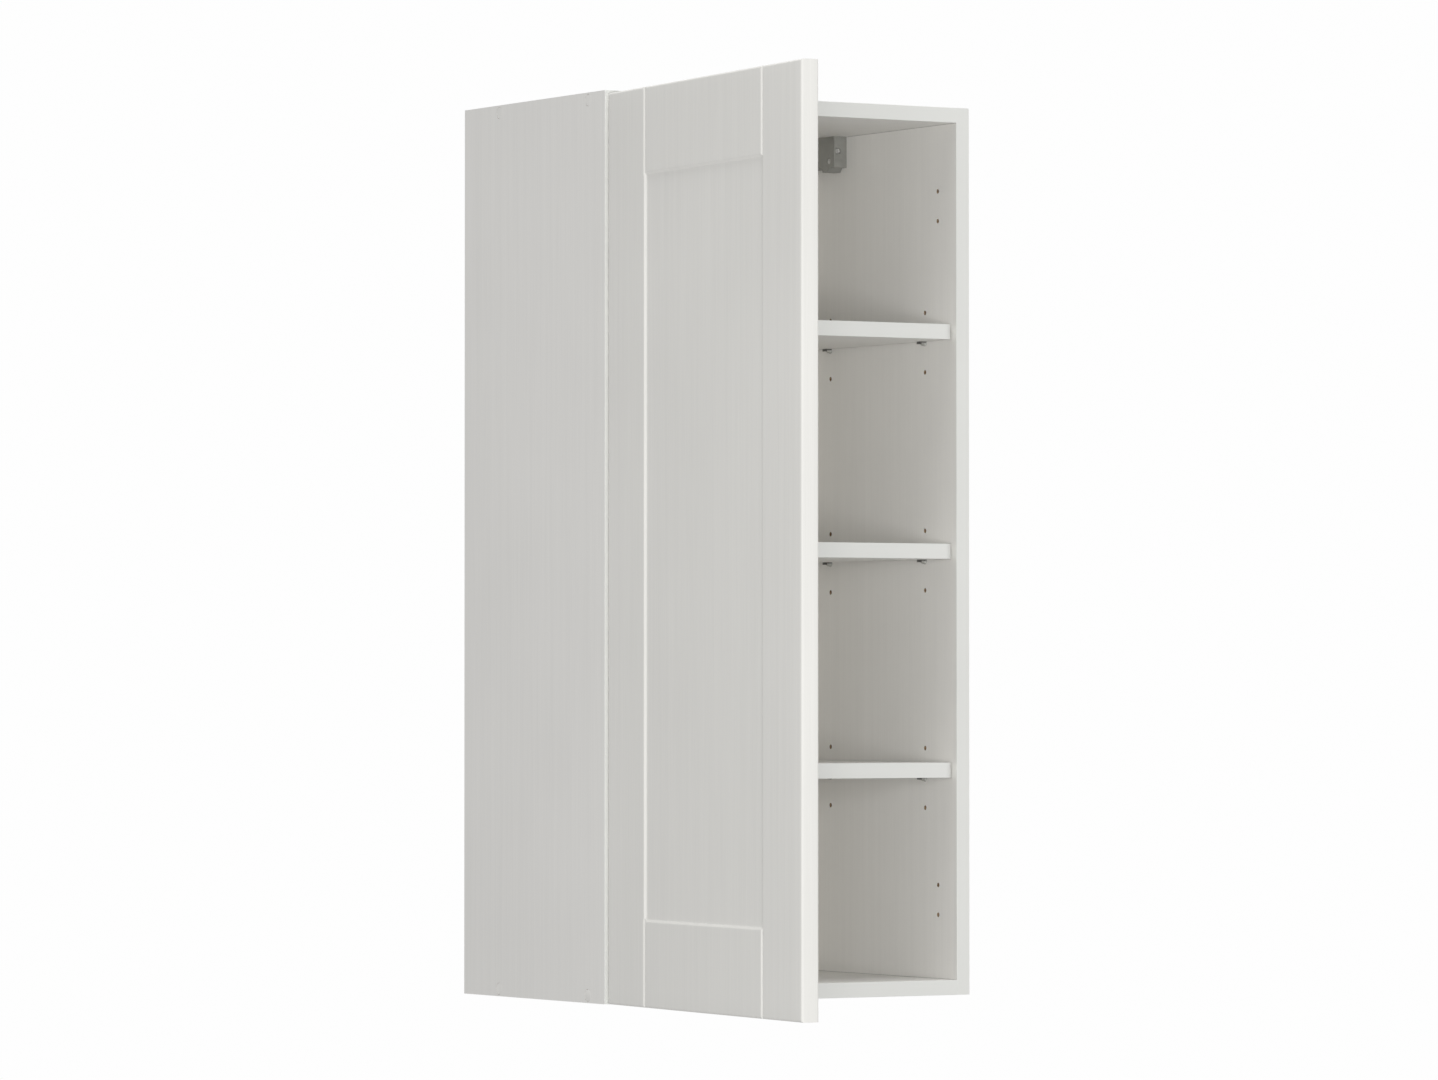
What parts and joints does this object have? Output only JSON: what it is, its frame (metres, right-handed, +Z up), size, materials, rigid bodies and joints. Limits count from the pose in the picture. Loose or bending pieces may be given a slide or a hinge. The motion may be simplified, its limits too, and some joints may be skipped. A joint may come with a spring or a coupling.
{
  "type": "wall cabinet",
  "caption": "Tall narrow wall cabinet with one framed white door on concealed hinges, adjustable shelves on metal supports, drilled side boards and adjustable wall hangers.",
  "frame": {"origin": "on the wall plane, at the middle of the width, level with the underside", "axes": "+X to the right seen from the front, +Y into the wall, +Z up; the front faces -Y"},
  "size_m": [0.4866, 0.7489, 0.947],
  "materials": {
    "board": "chipboard faced with smooth white melamine",
    "back_foil": "thin fibreboard with a white lacquered face and a brown back",
    "edge_band": "satin white edge band",
    "door_foil": "fibreboard wrapped in matt white foil with a fine upright grain",
    "cap": "moulded white cover cap",
    "dowel": "fluted beech",
    "screw": "zinc plated",
    "support": "nickel plated",
    "hanger_plastic": "moulded grey",
    "hook_steel": "zinc plated, stamped",
    "buffer": "clear soft bumper",
    "hinge_steel": "nickel plated, stamped",
    "pin_steel": "bright drawn pin"
  },
  "bodies": {
    "cabinet": {"side_left": "board", "side_right": "board", "top_panel": "board", "bottom_panel": "board", "back_panel": "back_foil", "edge_band_left": "edge_band", "edge_band_right": "edge_band", "edge_band_top": "edge_band", "edge_band_bottom": "edge_band", "carcass_screws": "screw", "screw_caps": "cap", "carcass_dowels": "dowel", "shelf_supports_lower": "support", "shelf_supports_middle": "support", "shelf_supports_upper": "support", "hanger_housing_left": "hanger_plastic", "hanger_housing_right": "hanger_plastic", "hanger_screws_left": "screw", "hanger_screws_right": "screw", "hanger_pegs": "hanger_plastic", "arm_pin_lower": "pin_steel", "arm_pin_upper": "pin_steel", "hinge_arm_lower": "hinge_steel", "hinge_arm_upper": "hinge_steel", "mounting_plate_lower": "hinge_steel", "mounting_plate_upper": "hinge_steel", "plate_screws_lower": "screw", "plate_screws_upper": "screw", "adjusting_screws_lower": "screw", "adjusting_screws_upper": "screw"},
    "lower_shelf": {"shelf_lower": "board", "shelf_band_lower": "edge_band"},
    "middle_shelf": {"shelf_middle": "board", "shelf_band_middle": "edge_band"},
    "upper_shelf": {"shelf_upper": "board", "shelf_band_upper": "edge_band"},
    "left_hook": {"hanger_hook_left": "hook_steel"},
    "right_hook": {"hanger_hook_right": "hook_steel"},
    "hinge_links": {"hinge_link_lower": "hinge_steel", "hinge_link_upper": "hinge_steel", "inner_link_lower": "hinge_steel", "inner_link_upper": "hinge_steel"},
    "door": {"door_panel": "door_foil", "door_buffers": "buffer", "hinge_cup_lower": "hinge_steel", "hinge_cup_upper": "hinge_steel", "cup_screws_lower": "screw", "cup_screws_upper": "screw", "cup_pin_lower": "pin_steel", "cup_pin_upper": "pin_steel"}
  },
  "joints": [
    {"name": "link_swing", "type": "hinge", "parent": "cabinet", "child": "hinge_links", "pos_m": [-0.19458, -0.29818, 0], "axis": [0, 0, 1], "range_deg": [-20.4, 0]},
    {"name": "door_swing", "type": "hinge", "parent": "hinge_links", "child": "door", "pos_m": [-0.20974, -0.31319, 0], "axis": [0, 0, 1], "range_deg": [0, 115.28]},
    {"name": "lower_shelf_lift", "type": "slide", "parent": "cabinet", "child": "lower_shelf", "axis": [0, 0, 1], "range_m": [0, 0.02]},
    {"name": "middle_shelf_lift", "type": "slide", "parent": "cabinet", "child": "middle_shelf", "axis": [0, 0, 1], "range_m": [0, 0.02]},
    {"name": "upper_shelf_lift", "type": "slide", "parent": "cabinet", "child": "upper_shelf", "axis": [0, 0, 1], "range_m": [0, 0.02]},
    {"name": "left_hook_height", "type": "slide", "parent": "cabinet", "child": "left_hook", "axis": [0, 0, 1], "range_m": [-0.005, 0.005]},
    {"name": "right_hook_height", "type": "slide", "parent": "cabinet", "child": "right_hook", "axis": [0, 0, 1], "range_m": [-0.005, 0.005]}
  ],
  "couplings": [
    {"joint": "link_swing", "follows": "door_swing", "ratio": -0.17593}
  ]
}
